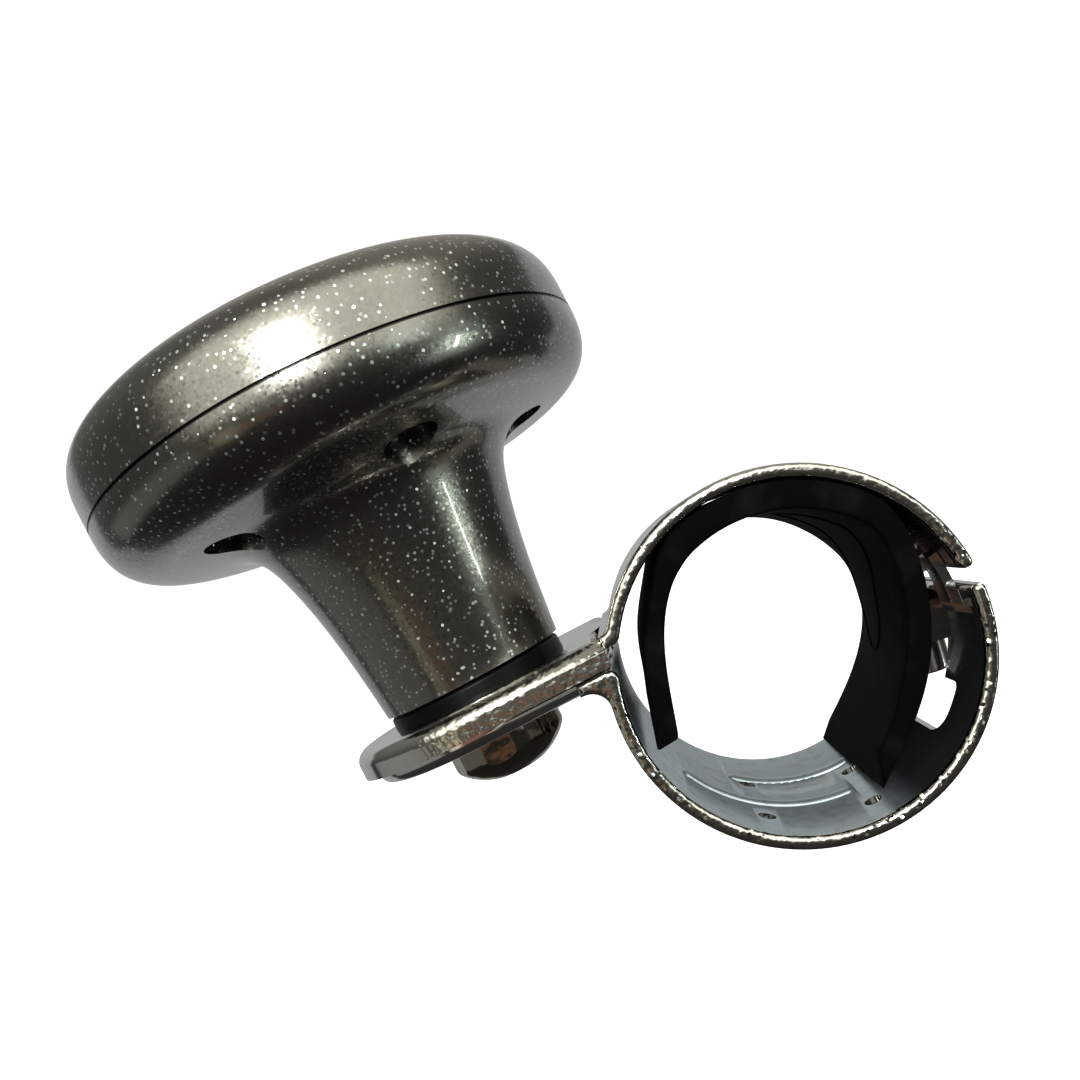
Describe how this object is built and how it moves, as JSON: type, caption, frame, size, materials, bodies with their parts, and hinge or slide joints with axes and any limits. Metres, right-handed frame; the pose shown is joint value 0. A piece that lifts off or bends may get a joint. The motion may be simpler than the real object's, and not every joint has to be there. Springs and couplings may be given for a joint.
{
  "type": "steering wheel spinner knob",
  "caption": "Round spinner knob on a ball-bearing spindle, carried by a two-part steel clamp band with a rubber liner that grips the rim of a steering wheel.",
  "frame": {"origin": "centre of the clamp band, on the axis of the wheel's rim, midway across the band's width", "axes": "+Y along the wheel's rim through the band, +Z parallel to the knob's axis towards its cap, +X away from the knob"},
  "size_m": [0.0816, 0.06, 0.0755],
  "materials": {
    "knob_paint": "gunmetal flake paint under clear coat",
    "clamp_chrome": "bright plated pressed steel",
    "bolt_chrome": "polished plated steel",
    "liner_rubber": "matte black rubber",
    "washer_black": "satin black",
    "screw_steel": "zinc plated",
    "screw_black": "black oxide",
    "spacer_steel": "turned steel",
    "bearing_steel": "ground steel",
    "ball_steel": "polished steel",
    "cage_plastic": "moulded plastic"
  },
  "bodies": {
    "root": {"upper_clamp_half": "clamp_chrome", "lower_clamp_half": "clamp_chrome", "upper_lug": "clamp_chrome", "lower_lug": "clamp_chrome", "rim_liner": "liner_rubber", "clamp_screw": "screw_steel", "clamp_washer": "screw_steel", "spindle_bolt": "bolt_chrome", "plate_spacer": "spacer_steel", "base_washer": "washer_black", "bearing_spacer": "spacer_steel", "top_washer": "spacer_steel", "lock_nut": "spacer_steel", "lower_inner_ring": "bearing_steel", "upper_inner_ring": "bearing_steel"},
    "knob": {"knob_housing": "knob_paint", "knob_cap": "knob_paint", "cap_screws": "screw_black", "lower_outer_ring": "bearing_steel", "upper_outer_ring": "bearing_steel"},
    "lower_cage_body": {"lower_balls": "ball_steel", "lower_cage": "cage_plastic"},
    "upper_cage_body": {"upper_balls": "ball_steel", "upper_cage": "cage_plastic"}
  },
  "joints": [
    {"name": "knob_spin", "type": "hinge", "parent": "root", "child": "knob", "pos_m": [-0.0326, 0, 0.03], "axis": [0, 0, 1], "continuous": true},
    {"name": "lower_cage_spin", "type": "hinge", "parent": "root", "child": "lower_cage_body", "pos_m": [-0.0326, 0, 0.0159], "axis": [0, 0, 1], "continuous": true},
    {"name": "upper_cage_spin", "type": "hinge", "parent": "root", "child": "upper_cage_body", "pos_m": [-0.0326, 0, 0.0334], "axis": [0, 0, 1], "continuous": true}
  ],
  "couplings": [
    {"joint": "lower_cage_spin", "follows": "knob_spin", "ratio": 0.647},
    {"joint": "upper_cage_spin", "follows": "knob_spin", "ratio": 0.647}
  ]
}
